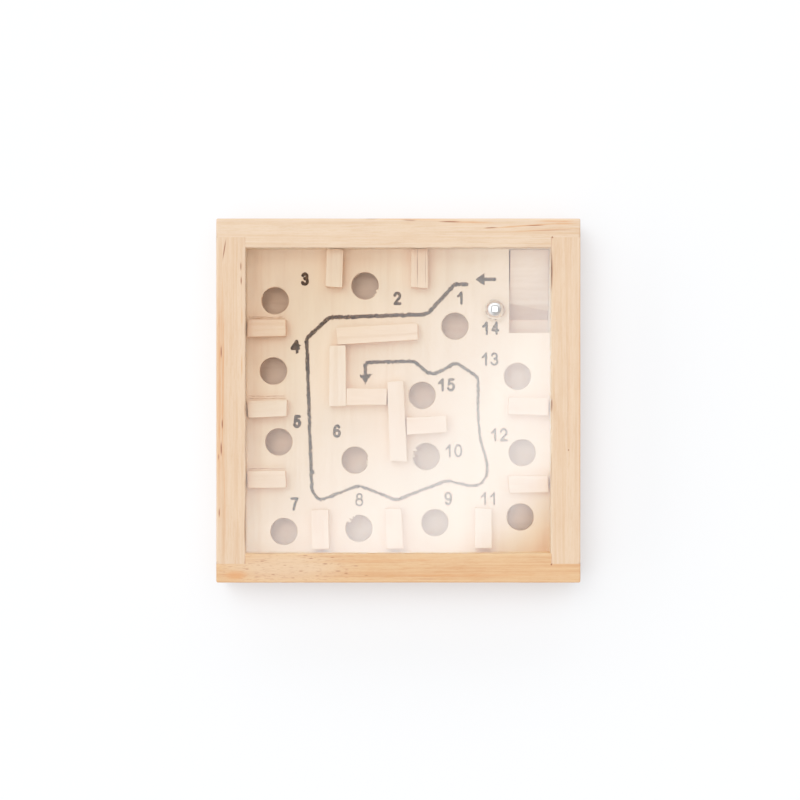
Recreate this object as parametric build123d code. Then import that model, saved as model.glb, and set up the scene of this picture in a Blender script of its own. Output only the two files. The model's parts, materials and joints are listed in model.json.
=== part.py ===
"""Tilt maze game: a flat square wooden box with a clear cover, tilted by hand to roll a steel ball
along a printed route between glued wall strips and past open holes.

A ball that drops through a hole lands in a low chamber under the maze floor. Tilting the box rolls
it to the return opening in the back right corner, and up a wooden ramp to the play level again.

Millimetres. The origin is the centre of the underside, +Z is up, +X is right and +Y is the back.
"""

import os

from build123d import *

# Frame
FRAME_SIDE = 106.0          # outside, both ways
FRAME_HEIGHT = 25.0
RAIL_THICKNESS = 8.5
HOUSING_DEPTH = 3.0         # of each groove, rebate and corner housing in the rails
EASED_EDGE = 0.5            # radius on the frame's outer edges

# Panels, each held on all four sides in the rails
PANEL_SLACK = 0.2           # side clearance of a panel in its groove
BASE_THICKNESS = 3.0
CHAMBER_HEIGHT = 7.0        # lets the ball roll under the maze floor
FLOOR_THICKNESS = 3.0
PLAY_HEIGHT = 8.5           # from the maze floor to the cover
COVER_THICKNESS = 2.0

# Ball, its holes, and the wall strips
BALL_DIAMETER = 6.35
BALL_LIFT = 0.05            # running clearance over the maze floor
BALL_X = 28.3
BALL_Y = 26.8
HOLE_DIAMETER = 8.0
WALL_WIDTH = 5.0
WALL_HEIGHT = 6.0

# Return opening, cut out of the maze floor's back right corner, and the ramp in it
OPENING_LEFT = 32.6         # x of its left edge
OPENING_FRONT = 19.9        # y of its front edge
RAMP_SIDE_GAP = 0.5
RAMP_FOOT = 24.0            # y where the bevelled tip meets the base panel
RAMP_BREAK = 28.3           # y where the long slope turns into the steeper tip
RAMP_DROP = 6.0             # fall of the long slope

# Centre of each hole, by the number of the hazard printed beside it. Hazards 1 and 14 share a hole.
HOLES = {
    1: (16.7, 21.9),
    2: (-9.8, 33.8),
    3: (-36.3, 29.4),
    4: (-36.8, 8.7),
    5: (-35.2, -12.2),
    6: (-12.7, -17.6),
    7: (-33.7, -38.6),
    8: (-11.6, -37.7),
    9: (10.8, -36.0),
    10: (8.2, -16.5),
    11: (35.9, -34.3),
    12: (36.5, -15.4),
    13: (35.1, 7.1),
    15: (7.0, 1.5),
}

# Each wall strip: centre x, centre y, length, and the direction of its long side in degrees from +X.
# They are cut and glued by hand, so lengths and directions differ a little.
WALLS = {
    "back_left_wall": (-18.7, 38.8, 11.2, 88.0),
    "back_right_wall": (6.2, 38.7, 11.4, 90.0),
    "left_back_wall": (-38.6, 21.2, 11.3, 1.0),
    "left_middle_wall": (-38.4, -2.4, 11.5, 2.0),
    "left_front_wall": (-38.6, -23.1, 11.3, 0.5),
    "front_left_wall": (-22.9, -37.8, 11.5, 91.5),
    "front_middle_wall": (-1.3, -37.5, 11.8, 92.5),
    "front_right_wall": (24.9, -37.4, 11.7, 90.0),
    "right_middle_wall": (38.1, -1.7, 11.7, -1.5),
    "right_front_wall": (38.1, -24.5, 11.5, 1.0),
    "centre_back_wall": (-6.2, 19.5, 23.8, 3.3),
    "centre_left_wall": (-17.8, 7.2, 17.8, 90.0),
    "centre_short_wall": (-9.3, 1.1, 11.8, 0.0),
    "centre_spine_wall": (-0.4, -6.1, 23.4, 92.3),
    "centre_right_wall": (8.3, -7.2, 11.7, 3.6),
}

# Levels and reaches that follow from the sizes above
HALF_SIDE = FRAME_SIDE / 2
INNER_HALF = HALF_SIDE - RAIL_THICKNESS
HOUSED_HALF = INNER_HALF + HOUSING_DEPTH
BASE_TOP = BASE_THICKNESS
FLOOR_BOTTOM = BASE_TOP + CHAMBER_HEIGHT
PLAY_LEVEL = FLOOR_BOTTOM + FLOOR_THICKNESS
COVER_BOTTOM = PLAY_LEVEL + PLAY_HEIGHT
COVER_TOP = COVER_BOTTOM + COVER_THICKNESS
PANEL_LEVELS = [(0.0, BASE_TOP), (FLOOR_BOTTOM, PLAY_LEVEL), (COVER_BOTTOM, COVER_TOP)]


def block(x_span, y_span, z_span):
    """A box from three (low, high) pairs."""
    spans = (x_span, y_span, z_span)
    middle = [(low + high) / 2 for low, high in spans]
    size = [high - low for low, high in spans]
    return Pos(*middle) * Box(*size)


def square_panel(half_side, z_span):
    """A square sheet centred on the origin's axis."""
    return block((-half_side, half_side), (-half_side, half_side), z_span)


def frame_outline():
    """The whole box as one block with eased outer edges, which every rail is cut from."""
    outline = square_panel(HALF_SIDE, (0, FRAME_HEIGHT))
    return fillet(outline.edges(), EASED_EDGE)


def cut_housings(rail):
    """Cut the base rebate and the two grooves, which run all round the inside of the frame."""
    for z_span in PANEL_LEVELS:
        rail -= square_panel(HOUSED_HALF, z_span)
    return rail


def make_back_rail():
    """Full width, with a housing at each end of its inner side for the end of a side rail."""
    full_height = (0, FRAME_HEIGHT)
    rail = block((-HALF_SIDE, HALF_SIDE), (INNER_HALF, HALF_SIDE), full_height) & frame_outline()
    rail -= block((INNER_HALF, HALF_SIDE), (INNER_HALF, HOUSED_HALF), full_height)
    rail -= block((-HALF_SIDE, -INNER_HALF), (INNER_HALF, HOUSED_HALF), full_height)
    return cut_housings(rail)


def make_right_rail():
    """Shorter, with its ends in the housings of the front and back rails."""
    rail = block((INNER_HALF, HALF_SIDE), (-HOUSED_HALF, HOUSED_HALF), (0, FRAME_HEIGHT))
    return cut_housings(rail & frame_outline())


def make_maze_floor():
    """Plywood panel with the ball holes and the return opening."""
    floor = square_panel(HOUSED_HALF - PANEL_SLACK, (FLOOR_BOTTOM, PLAY_LEVEL))
    floor_span = (FLOOR_BOTTOM, PLAY_LEVEL)
    floor -= block((OPENING_LEFT, HALF_SIDE), (OPENING_FRONT, HALF_SIDE), floor_span)
    floor_middle = (FLOOR_BOTTOM + PLAY_LEVEL) / 2
    for x, y in HOLES.values():
        floor -= Pos(x, y, floor_middle) * Cylinder(HOLE_DIAMETER / 2, FLOOR_THICKNESS)
    return floor


def make_return_ramp():
    """Wedge glued to the base panel: a long slope down from the back rail, then a steep bevelled tip."""
    back = INNER_HALF - RAMP_SIDE_GAP
    left = OPENING_LEFT + RAMP_SIDE_GAP
    right = INNER_HALF - RAMP_SIDE_GAP
    profile = Polyline(
        (back, BASE_TOP),
        (back, PLAY_LEVEL),
        (RAMP_BREAK, PLAY_LEVEL - RAMP_DROP),
        (RAMP_FOOT, BASE_TOP),
        close=True,
    )
    side = Plane.YZ.offset(left) * make_face(profile)
    return extrude(side, right - left)


def make_wall(x, y, length, direction):
    """One strip standing on the maze floor."""
    strip = Box(length, WALL_WIDTH, WALL_HEIGHT)
    return Pos(x, y, PLAY_LEVEL + WALL_HEIGHT / 2) * Rot(0, 0, direction) * strip


def make_steel_ball():
    """The ball at its start, resting on the maze floor."""
    radius = BALL_DIAMETER / 2
    return Pos(BALL_X, BALL_Y, PLAY_LEVEL + BALL_LIFT + radius) * Sphere(radius)


def make_nodes():
    """Every separate piece of the game, by name."""
    half_turn = Rot(0, 0, 180)
    back_rail = make_back_rail()
    right_rail = make_right_rail()
    nodes = {
        "back_rail": back_rail,
        "front_rail": half_turn * back_rail,
        "right_rail": right_rail,
        "left_rail": half_turn * right_rail,
        "base_panel": square_panel(HOUSED_HALF - PANEL_SLACK, (0, BASE_TOP)),
        "maze_floor": make_maze_floor(),
        "clear_cover": square_panel(HOUSED_HALF - PANEL_SLACK, (COVER_BOTTOM, COVER_TOP)),
        "return_ramp": make_return_ramp(),
        "steel_ball": make_steel_ball(),
    }
    for name, placing in WALLS.items():
        nodes[name] = make_wall(*placing)
    return nodes


os.makedirs("parts", exist_ok=True)
for node_name, shape in make_nodes().items():
    shape.label = node_name
    export_step(shape, f"parts/{node_name}.step")
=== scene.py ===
"""Looks of the tilt maze game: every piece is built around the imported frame, in metres."""

import json
import math

import bmesh
import bpy
import numpy as np
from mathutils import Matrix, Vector, noise
from mathutils.geometry import tessellate_polygon


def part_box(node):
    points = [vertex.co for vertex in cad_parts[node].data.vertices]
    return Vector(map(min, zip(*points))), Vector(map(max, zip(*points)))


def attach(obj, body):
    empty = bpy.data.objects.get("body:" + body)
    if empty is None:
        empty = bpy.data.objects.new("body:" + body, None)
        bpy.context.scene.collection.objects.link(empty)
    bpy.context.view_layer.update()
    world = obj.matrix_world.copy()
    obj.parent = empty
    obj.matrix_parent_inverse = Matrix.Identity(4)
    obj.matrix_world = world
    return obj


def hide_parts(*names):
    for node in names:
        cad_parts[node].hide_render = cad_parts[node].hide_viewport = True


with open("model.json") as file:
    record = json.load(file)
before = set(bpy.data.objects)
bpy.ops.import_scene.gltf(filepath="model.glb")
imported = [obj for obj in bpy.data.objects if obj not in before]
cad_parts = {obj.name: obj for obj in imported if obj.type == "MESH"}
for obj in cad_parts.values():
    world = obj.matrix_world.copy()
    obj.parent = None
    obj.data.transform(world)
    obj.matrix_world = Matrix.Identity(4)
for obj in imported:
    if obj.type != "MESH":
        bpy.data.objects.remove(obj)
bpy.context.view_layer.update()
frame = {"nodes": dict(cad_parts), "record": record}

MM = 0.001

# ---------------- shader graphs


class Graph:
    """The node tree of a material or a world, and short calls that add nodes to it."""

    def __init__(self, owner):
        owner.use_nodes = True
        self.tree = owner.node_tree
        self.tree.nodes.clear()

    def put(self, socket, value):
        if isinstance(value, bpy.types.NodeSocket):
            self.tree.links.new(value, socket)
        elif value is not None:
            socket.default_value = value

    def add(self, kind, values=None, **settings):
        node = self.tree.nodes.new("ShaderNode" + kind)
        for key, value in settings.items():
            setattr(node, key, value)
        for key, value in (values or {}).items():
            self.put(node.inputs[key], value)
        return node

    def math(self, operation, *values):
        return self.add("Math", dict(enumerate(values)), operation=operation).outputs[0]

    def times(self, a, b):
        return self.math("MULTIPLY", a, b)

    def plus(self, a, b):
        return self.math("ADD", a, b)

    def minus(self, a, b):
        return self.math("SUBTRACT", a, b)

    def distance(self, a, b):
        return self.math("SQRT", self.plus(self.times(a, a), self.times(b, b)))

    def scaled(self, vector, factors):
        node = self.add("VectorMath", {0: vector, 1: factors}, operation="MULTIPLY")
        return node.outputs[0]

    def split(self, vector):
        return self.add("SeparateXYZ", {0: vector}).outputs

    def noise(self, vector, detail=2.0, roughness=0.5, distortion=0.0):
        values = {"Vector": vector, "Scale": 1.0, "Detail": detail,
                  "Roughness": roughness, "Distortion": distortion}
        return self.add("TexNoise", values).outputs[0]

    def ease(self, value, start, end, low=0.0, high=1.0):
        """low at start, high at end, with a smooth run between them."""
        values = {0: value, 1: start, 2: end, 3: low, 4: high}
        return self.add("MapRange", values, interpolation_type="SMOOTHSTEP").outputs[0]

    def mix(self, share, a, b, blend="MIX"):
        values = {0: share, 6: a, 7: b}
        return self.add("Mix", values, data_type="RGBA", blend_type=blend).outputs[2]

    def bump(self, height, distance, strength=1.0):
        values = {"Height": height, "Distance": distance, "Strength": strength}
        return self.add("Bump", values).outputs[0]


class Material(Graph):
    """A new material with one Principled shader."""

    def __init__(self, name):
        self.material = bpy.data.materials.new(name)
        super().__init__(self.material)
        self.shader = self.add("BsdfPrincipled")
        self.output = self.add("OutputMaterial", {0: self.shader.outputs[0]})

    def set(self, **values):
        for key, value in values.items():
            self.put(self.shader.inputs[key.replace("_", " ")], value)
        return self.material


def rgb(r, g, b):
    """An sRGB colour, 0 to 255, as the linear colour that the shaders take."""
    def linear(v):
        v /= 255
        return v / 12.92 if v <= 0.04045 else ((v + 0.055) / 1.055) ** 2.4
    return (linear(r), linear(g), linear(b), 1.0)


THROUGH = 400.0  # deeper than any piece, in mm
MARK_DEPTH = 3.0  # how deep a streak goes
GAP_SHADOW_BELOW, GAP_SHADOW_DEPTH = 0.3, 1.0  # where the painted shadow lines of the gaps lie under an edge
FLECK_TONE, PIT_TONE = rgb(176, 128, 92), rgb(150, 92, 56)
FAIR_TONE, WARM_TONE, DARK_TONE = rgb(221, 183, 153), rgb(206, 132, 78), rgb(108, 56, 32)
SAWN_TONE, GAP_SHADOW_TONE = rgb(186, 140, 104), rgb(84, 50, 32)
INNER_FACE_PAINTED_LIGHT = (1.36, 1.75, 2.0)  # how much paler the inner faces are painted, as painted light on them
RIM_PAINTED_LIGHT = (1.14, 1.22, 1.3)  # and a sheet's rim by the walls, as painted light against their shade
RIM_WIDTH = 3.4
ROUGHNESS = (0.49, 0.67)  # between the fibres and on them


def spots(g, p, marks, top=0.0, depth=THROUGH):
    """The union of soft long lenses on the wood. A mark is (along, across, half length,
    half width, tilt in degrees, strength), in mm along and across the grain, and it goes
    depth mm down from the height top."""
    total = None
    for along, across, length, width, tilt, strength in marks:
        local = g.add("Mapping", {"Vector": p, "Location": (along, across, top),
                                  "Rotation": (0, 0, math.radians(tilt)),
                                  "Scale": (length, width, depth)},
                      vector_type="TEXTURE").outputs[0]
        reach = g.add("VectorMath", {0: local}, operation="LENGTH").outputs["Value"]
        one = g.ease(reach, 1.0, 0.25, 0.0, strength)
        total = one if total is None else g.math("MAXIMUM", total, one)
    return total


def wood(name, pale, deep, rings, fibre=0.35, mottle=0.3, flecks=0.25, ply=None, top=0.0,
         ends=None, inner=None, edge=None, dark=(), warm=(), fair=(), pits=(), gaps=()):
    """Sanded, unvarnished wood, from pale to deep. Lengths are in mm.

    rings: the pith's place (across, up), the mean width of a year's growth and how dark the
    late wood is. fibre, mottle, flecks: how strong each shows. ply: the heights between which
    a darker band shows, and its tone: on a sheet the middle ply at its edges, on the ramp
    painted shade on its steep tip. top: the height of the marked face. ends: how far along the
    grain the sawn ends lie. inner: how far across it the inner face lies, which is painted
    paler as painted light. edge: where the rim of a sheet lies, which is painted paler as
    painted light against the walls' shade. The rest are marks for spots(): dark and warm
    streaks and spots, a few of them painted shade, fair patches, pitted patches and the
    painted shadow lines in the gap at an edge."""
    g = Material(name)
    p = g.add("Attribute", attribute_name="grain").outputs["Vector"]
    wander = g.noise(g.scaled(p, (0.018, 0.10, 0.10)), detail=2.0)
    wander_fine = g.noise(g.scaled(p, (0.09, 0.5, 0.5)), detail=1.0)
    along, across, up = g.split(p)
    pith_across, pith_up, spacing, late_strength = rings
    radius = g.distance(g.minus(across, pith_across), g.minus(up, pith_up))
    radius = g.plus(radius, g.times(wander, 5.0))
    radius = g.plus(radius, g.times(wander_fine, 0.5))
    year = g.math("FRACT", g.math("DIVIDE", radius, spacing))
    late = g.math("POWER", year, 3.0)
    late = g.times(late, g.ease(year, 1.0, 0.93))
    uneven = g.noise(g.scaled(p, (0.05, 0.35, 0.35)), detail=2.0)
    late = g.times(late, g.ease(uneven, 0.3, 0.7, 0.35, 1.0))

    fibres = g.noise(g.scaled(p, (0.2, 2.6, 2.6)), detail=4.0, roughness=0.65)
    fine = g.noise(g.scaled(p, (0.9, 13.0, 13.0)), detail=2.0)
    cloud = g.noise(g.scaled(p, (0.07, 0.22, 0.22)), detail=3.0)
    fleck = g.noise(g.scaled(p, (0.5, 3.6, 3.6)), detail=2.0)
    streak = g.noise(g.scaled(p, (0.014, 1.1, 1.1)), detail=2.0)

    colour = g.mix(g.times(late, late_strength), pale, deep)
    colour = g.mix(g.ease(fibres, 0.42, 0.72, 0.0, fibre), colour, deep)
    light = tuple(min(1.0, c * 1.12) for c in pale[:3]) + (1.0,)
    colour = g.mix(g.ease(cloud, 0.35, 0.68, 0.0, mottle), colour, light)
    colour = g.mix(g.ease(streak, 0.45, 0.7, 0.0, fibre * 0.9), colour, deep)
    colour = g.mix(g.ease(fine, 0.5, 0.8, 0.0, fibre * 0.8), colour, deep)
    colour = g.mix(g.ease(fleck, 0.66, 0.78, 0.0, flecks), colour, FLECK_TONE)
    # a darker band between two heights: on the floor and base the middle ply, on the ramp painted
    # shade on its steep tip
    if ply:
        low, high, tone = ply
        ply_and_shade_band = g.times(g.ease(up, low, low + 0.12), g.ease(up, high, high - 0.12))
        colour = g.mix(g.times(ply_and_shade_band, 0.8), colour, tone)
    if pits:
        pitted = g.times(spots(g, p, pits), g.ease(fleck, 0.56, 0.64, 0.0, 0.9))
        colour = g.mix(pitted, colour, PIT_TONE)
    if fair:
        colour = g.mix(spots(g, p, fair), colour, FAIR_TONE)
    if warm:
        marked = spots(g, p, warm, top, MARK_DEPTH)
        grained = g.times(marked, g.ease(fibres, 0.2, 0.75, 0.5, 1.0))
        colour = g.mix(grained, colour, WARM_TONE)
    if dark:
        marked = spots(g, p, dark, top, MARK_DEPTH)
        grained = g.times(marked, g.ease(fibres, 0.2, 0.6, 0.7, 1.0))
        colour = g.mix(grained, colour, DARK_TONE)
    if ends:
        sawn = g.ease(g.math("ABSOLUTE", along), ends - 0.15, ends - 0.02)
        ringed = g.math("MULTIPLY_ADD", late, 0.6, 0.25)
        colour = g.mix(g.times(sawn, ringed), colour, SAWN_TONE)
    # painted light: the inner faces are made paler, standing in for the light that falls on them
    if inner:
        inner_face_light = g.ease(g.math("ABSOLUTE", across), inner + 0.12, inner + 0.02)
        colour = g.mix(inner_face_light, colour, g.scaled(colour, INNER_FACE_PAINTED_LIGHT))
    # painted light: a sheet is made paler along its rims by the walls, against their shade
    if edge:
        rim = g.math("MAXIMUM", g.ease(along, edge - RIM_WIDTH, edge - 0.2),
                     g.ease(across, RIM_WIDTH - edge, 0.2 - edge))
        colour = g.mix(rim, colour, g.scaled(colour, RIM_PAINTED_LIGHT))
    wear = g.add("Attribute", attribute_name="wear").outputs["Fac"]
    colour = g.mix(g.times(wear, 0.35), colour, light)
    # painted shadow: dark lines at the inner top edge, standing in for the shade in the gap by the
    # cover
    if gaps:
        gap_shadow = spots(g, p, gaps, top - GAP_SHADOW_BELOW, GAP_SHADOW_DEPTH)
        colour = g.mix(gap_shadow, colour, GAP_SHADOW_TONE)

    height = g.plus(g.times(fibres, 0.7), g.times(fine, 0.4))
    height = g.minus(height, g.times(late, 0.3))
    rough = g.ease(fibres, 0.2, 0.8, *ROUGHNESS)
    rough = g.minus(rough, g.times(wear, 0.08))
    return g.set(Base_Color=colour, Roughness=rough, Normal=g.bump(height, 0.05 * MM, 0.6),
                 Specular_IOR_Level=0.35)


# ---------------- pieces


def put_attribute(mesh, name, kind, values):
    attribute = mesh.attributes.new(name, kind, "POINT")
    key = "vector" if kind == "FLOAT_VECTOR" else "value"
    attribute.data.foreach_set(key, np.asarray(values, np.float32).ravel())


def finish_piece(bm, name, material, node=None, body="box", grain=None, wear=None,
                 smooth=35):
    """Turns bm into a named object that rides on a body. grain is (origin, along, across):
    where the wood's own coordinates start and which way the fibres run."""
    bmesh.ops.recalc_face_normals(bm, faces=bm.faces[:])
    mesh = bpy.data.meshes.new(name)
    bm.to_mesh(mesh)
    bm.free()
    obj = bpy.data.objects.new(name, mesh)
    bpy.context.scene.collection.objects.link(obj)
    mesh.materials.append(material)
    mesh.shade_smooth()
    mesh.set_sharp_from_angle(angle=math.radians(smooth))
    normals = obj.modifiers.new("normals", "WEIGHTED_NORMAL")
    normals.keep_sharp, normals.weight = True, 100
    co = np.array([v.co for v in mesh.vertices], float) / MM
    if grain:
        origin, along, across = (np.array(v, float) for v in grain)
        up = np.cross(along, across)
        place = co @ np.stack([along, across, np.abs(up)], 1) + origin
        put_attribute(mesh, "grain", "FLOAT_VECTOR", place)
        put_attribute(mesh, "wear", "FLOAT",
                      np.zeros(len(co)) if wear is None else wear(co))
    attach(obj, body)
    if node:
        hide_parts(node)
    return obj


def from_node(node):
    """A clean bmesh of a CAD node: its doubled corners joined and its flat faces whole."""
    bm = bmesh.new()
    bm.from_mesh(frame["nodes"][node].data)
    bmesh.ops.remove_doubles(bm, verts=bm.verts[:], dist=0.002 * MM)
    bmesh.ops.dissolve_limit(bm, angle_limit=math.radians(0.5), verts=bm.verts[:],
                             edges=bm.edges[:])
    return bm


def ease_edges(bm, pick, width, segments=2):
    """Rounds the edges whose two end points pick() accepts, in mm."""
    edges = [e for e in bm.edges
             if len(e.link_faces) == 2 and e.calc_face_angle(0) > 0.6
             and pick(e.verts[0].co / MM, e.verts[1].co / MM)]
    bmesh.ops.bevel(bm, geom=edges, offset=width * MM, offset_type="OFFSET",
                    segments=segments, profile=0.5, affect="EDGES", clamp_overlap=True)


def cut(bm, axis, places):
    """Cuts every face at these places along an axis, in mm, so that it can bend."""
    normal = Vector((0, 0, 0))
    normal[axis] = 1
    for place in places:
        bmesh.ops.bisect_plane(bm, geom=bm.verts[:] + bm.edges[:] + bm.faces[:],
                               dist=0.001 * MM, plane_co=normal * place * MM,
                               plane_no=normal)


def wobble(place, size, seed):
    """Smooth noise, about -1 to 1, with features about size mm wide."""
    return noise.noise(Vector(place) / size + Vector((seed * 7.3, seed * 3.1, seed * 5.7)))


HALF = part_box("back_rail")[1].y / MM
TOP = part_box("back_rail")[1].z / MM
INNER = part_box("back_rail")[0].y / MM
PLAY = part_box("maze_floor")[1].z / MM
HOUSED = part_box("left_rail")[1].y / MM
STEP_ALONG = 1.2

RAILS = {
    # node: (long axis, side of that axis it lies on, slot, seed)
    "back_rail": (0, 1, "pine_rail", 1),
    "front_rail": (0, -1, "amber_pine_rail", 2),
    "left_rail": (1, -1, "pine_rail", 3),
    "right_rail": (1, 1, "pine_rail", 4),
}
SHOULDER_GAP = 0.14  # the width of a joint line at a corner, in mm
INNER_EASE = 0.25
FACE_DIP, TOP_DIP, RAG, RAG_DIP = 0.05, 0.06, 0.07, 0.10  # how uneven faces are, in mm
SKIN, INNER_BAND = 0.6, 0.5  # corners this near a face or the inner edge are moved
WORN_SIDE, WORN_TOP, WORN_INNER = 0.9, 0.6, 0.4  # how far the rub reaches from an edge
NEAR = 0.01  # two places closer than this are the same, in mm
WIDTH_CUTS = (1.1, 2.2, 4.0, 6.0)  # in from the outer face
HEIGHT_CUTS = (1.2, 6.5, 16.0, 18.5, 24.0)
TORN_FROM, TORN_TO = -9, 46  # the torn stretch of the back rail's inner edge


def build_rail(node, material):
    long_axis, side, slot, seed = RAILS[node]
    cross = 1 - long_axis
    bm = from_node(node)

    def inner_top(a, b):
        on_top = min(a.z, b.z) > TOP - NEAR
        return on_top and all(abs(v[cross] * side - INNER) < NEAR for v in (a, b))

    def joint(a, b):
        on_top = min(a.z, b.z) > TOP - NEAR
        if long_axis == 0:
            return on_top and all(abs(v[cross]) < HOUSED + NEAR
                                  and abs(v[0]) > INNER - NEAR for v in (a, b))
        return on_top and all(abs(abs(v[1]) - HOUSED) < NEAR for v in (a, b))

    ease_edges(bm, inner_top, INNER_EASE)
    ease_edges(bm, joint, SHOULDER_GAP, 1)
    end = HALF if long_axis == 0 else HOUSED
    cut(bm, long_axis, np.arange(-end + 0.9, end - 0.5, STEP_ALONG))
    cut(bm, cross, [side * (HALF - v) for v in WIDTH_CUTS] + [side * (INNER + 0.8)])
    cut(bm, 2, HEIGHT_CUTS)

    for v in bm.verts:
        x, y, z = (c / MM for c in v.co)
        reach = (x, y)[cross] * side
        push = [0.0, 0.0, 0.0]
        # planed faces are never quite flat, and only ever dip inside the true size
        if reach > HALF - SKIN:
            push[cross] -= side * FACE_DIP * max(0.0, wobble((x, y, z), 14, seed))
        if z > TOP - SKIN:
            push[2] -= TOP_DIP * max(0.0, wobble((x, y, z), 11, seed + 5))
            if reach < INNER + INNER_BAND:
                rag = wobble((x, y, 0), 2.6, seed + 9) + 0.5 * wobble((x, y, 0), 1.1, seed)
                torn = 2.0 if node == "back_rail" and TORN_FROM < x < TORN_TO else 1.0
                push[cross] += side * RAG * torn * rag
                push[2] -= RAG_DIP * max(0.0, wobble((x, y, 0), 4.0, seed + 3))
        v.co += Vector(push) * MM

    def wear(co):
        far, down = np.abs(co[:, cross]), TOP - co[:, 2]
        outer = np.maximum(0, 1 - (HALF - far) / WORN_SIDE) * (down < 1.0)
        upper = np.maximum(0, 1 - down / WORN_TOP) * (far > HALF - SKIN)
        inner = (np.abs(far - INNER) < WORN_INNER) * (down < INNER_BAND) * 0.8
        return np.clip(np.maximum(np.maximum(outer, upper), inner), 0, 1)

    along = (1, 0, 0) if long_axis == 0 else (0, 1, 0)
    across = (0, 1, 0) if long_axis == 0 else (1, 0, 0)
    finish_piece(bm, node + "_wood", material, node, wear=wear,
                 grain=((0, 0, 0), along, across))


PINE_PALE, PINE_DEEP = rgb(218, 183, 156), rgb(196, 148, 111)
SIDE_PALE = rgb(216, 179, 151)
# inner=INNER paints every rail's inner faces paler: painted light
back_pine = wood(
    "back_rail_pine", PINE_PALE, PINE_DEEP, (70, 12, 2.6, 0.45), mottle=0.5, fibre=0.45,
    dark=[(-7.9, 52.85, 2.7, 0.28, 0, 0.8), (3.1, 52.45, 2.8, 0.30, -2, 0.9),
          (15.0, 52.0, 4.2, 0.30, -1, 0.9), (26.9, 50.25, 2.6, 0.22, 3, 0.9),
          (39.5, 50.9, 3.6, 0.22, 2, 0.7), (44.8, 49.55, 8.0, 0.13, 1, 0.55),
          # the round dot at the inner corner is painted shade in the small gap of the joint
          (44.8, 47.5, 0.35, 0.35, 0, 1.0)],
    top=TOP, ends=HALF, inner=INNER,
    warm=[(4.0, 52.7, 18, 0.42, -1, 0.75), (20.0, 51.9, 12, 0.45, -2, 0.6),
          (38.0, 50.9, 18, 0.30, 4, 0.75), (46.0, 52.2, 8, 0.5, 0, 0.8),
          (41.0, 49.5, 14, 0.35, 3, 0.5), (48.0, 51.4, 6, 0.25, 0, 0.7)])
left_pine = wood(
    "left_rail_pine", SIDE_PALE, PINE_DEEP, (-62, 34, 3.4, 0.65), mottle=0.35, fibre=0.42,
    dark=[(43.9, -50.6, 4.2, 0.30, -171, 0.75), (39.0, -45.8, 1.7, 0.25, 0, 0.9),
          (34.9, -45.7, 1.7, 0.25, 0, 0.9), (14.2, -51.5, 2.4, 0.28, 0, 0.85),
          (-6.8, -51.2, 2.0, 0.28, 0, 0.9), (-14.0, -51.5, 2.8, 0.32, 0, 0.9),
          (-16.4, -52.3, 1.2, 0.30, 0, 0.8), (-32.6, -52.1, 1.8, 0.28, 0, 0.9)],
    top=TOP, inner=INNER,
    # gaps: painted shadow lines at the inner top edge
    gaps=[(20.5, -44.4, 3.6, 0.5, 0, 0.6), (-2.5, -44.4, 3.6, 0.5, 0, 0.6),
          (-37.0, -44.4, 9.0, 0.6, 0, 0.7), (6, -44.4, 38, 0.3, 0, 0.2)],
    warm=[(0, -52.3, 49, 1.0, 0, 0.85), (4, -51.0, 34, 0.35, 0.6, 0.6),
          (24.8, -45.5, 3.8, 0.25, 0, 0.6),
          (10.0, -45.5, 5.0, 0.25, 0, 0.6), (20, -51.4, 26, 0.3, 1.2, 0.4),
          (-24, -50.6, 24, 0.3, -1.6, 0.4)])
right_pine = wood(
    "right_rail_pine", SIDE_PALE, PINE_DEEP, (30, 60, 3.0, 0.45), mottle=0.45, fibre=0.42,
    dark=[(0.1, 49.3, 20.5, 0.16, 0, 0.30), (-14.4, 49.5, 0.35, 0.3, 0, 0.9),
          # the two round dots at the inner corners are painted shade in the small gaps of the
          # joints
          (47.45, 44.8, 0.4, 0.4, 0, 1.0), (-47.6, 44.6, 0.4, 0.4, 0, 1.0)],
    top=TOP, inner=INNER,
    # gaps: painted shadow lines at the inner top edge
    gaps=[(37.5, 44.4, 9.0, 0.8, 0, 0.97), (-1.2, 44.4, 3.4, 0.7, 0, 0.9),
          (-20.0, 44.4, 8.0, 0.5, 0, 0.5), (0, 44.4, 42, 0.3, 0, 0.2)],
    warm=[(0, 52.7, 44, 0.5, 0, 0.45), (0, 49.6, 30, 0.5, 0, 0.2)])
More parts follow.
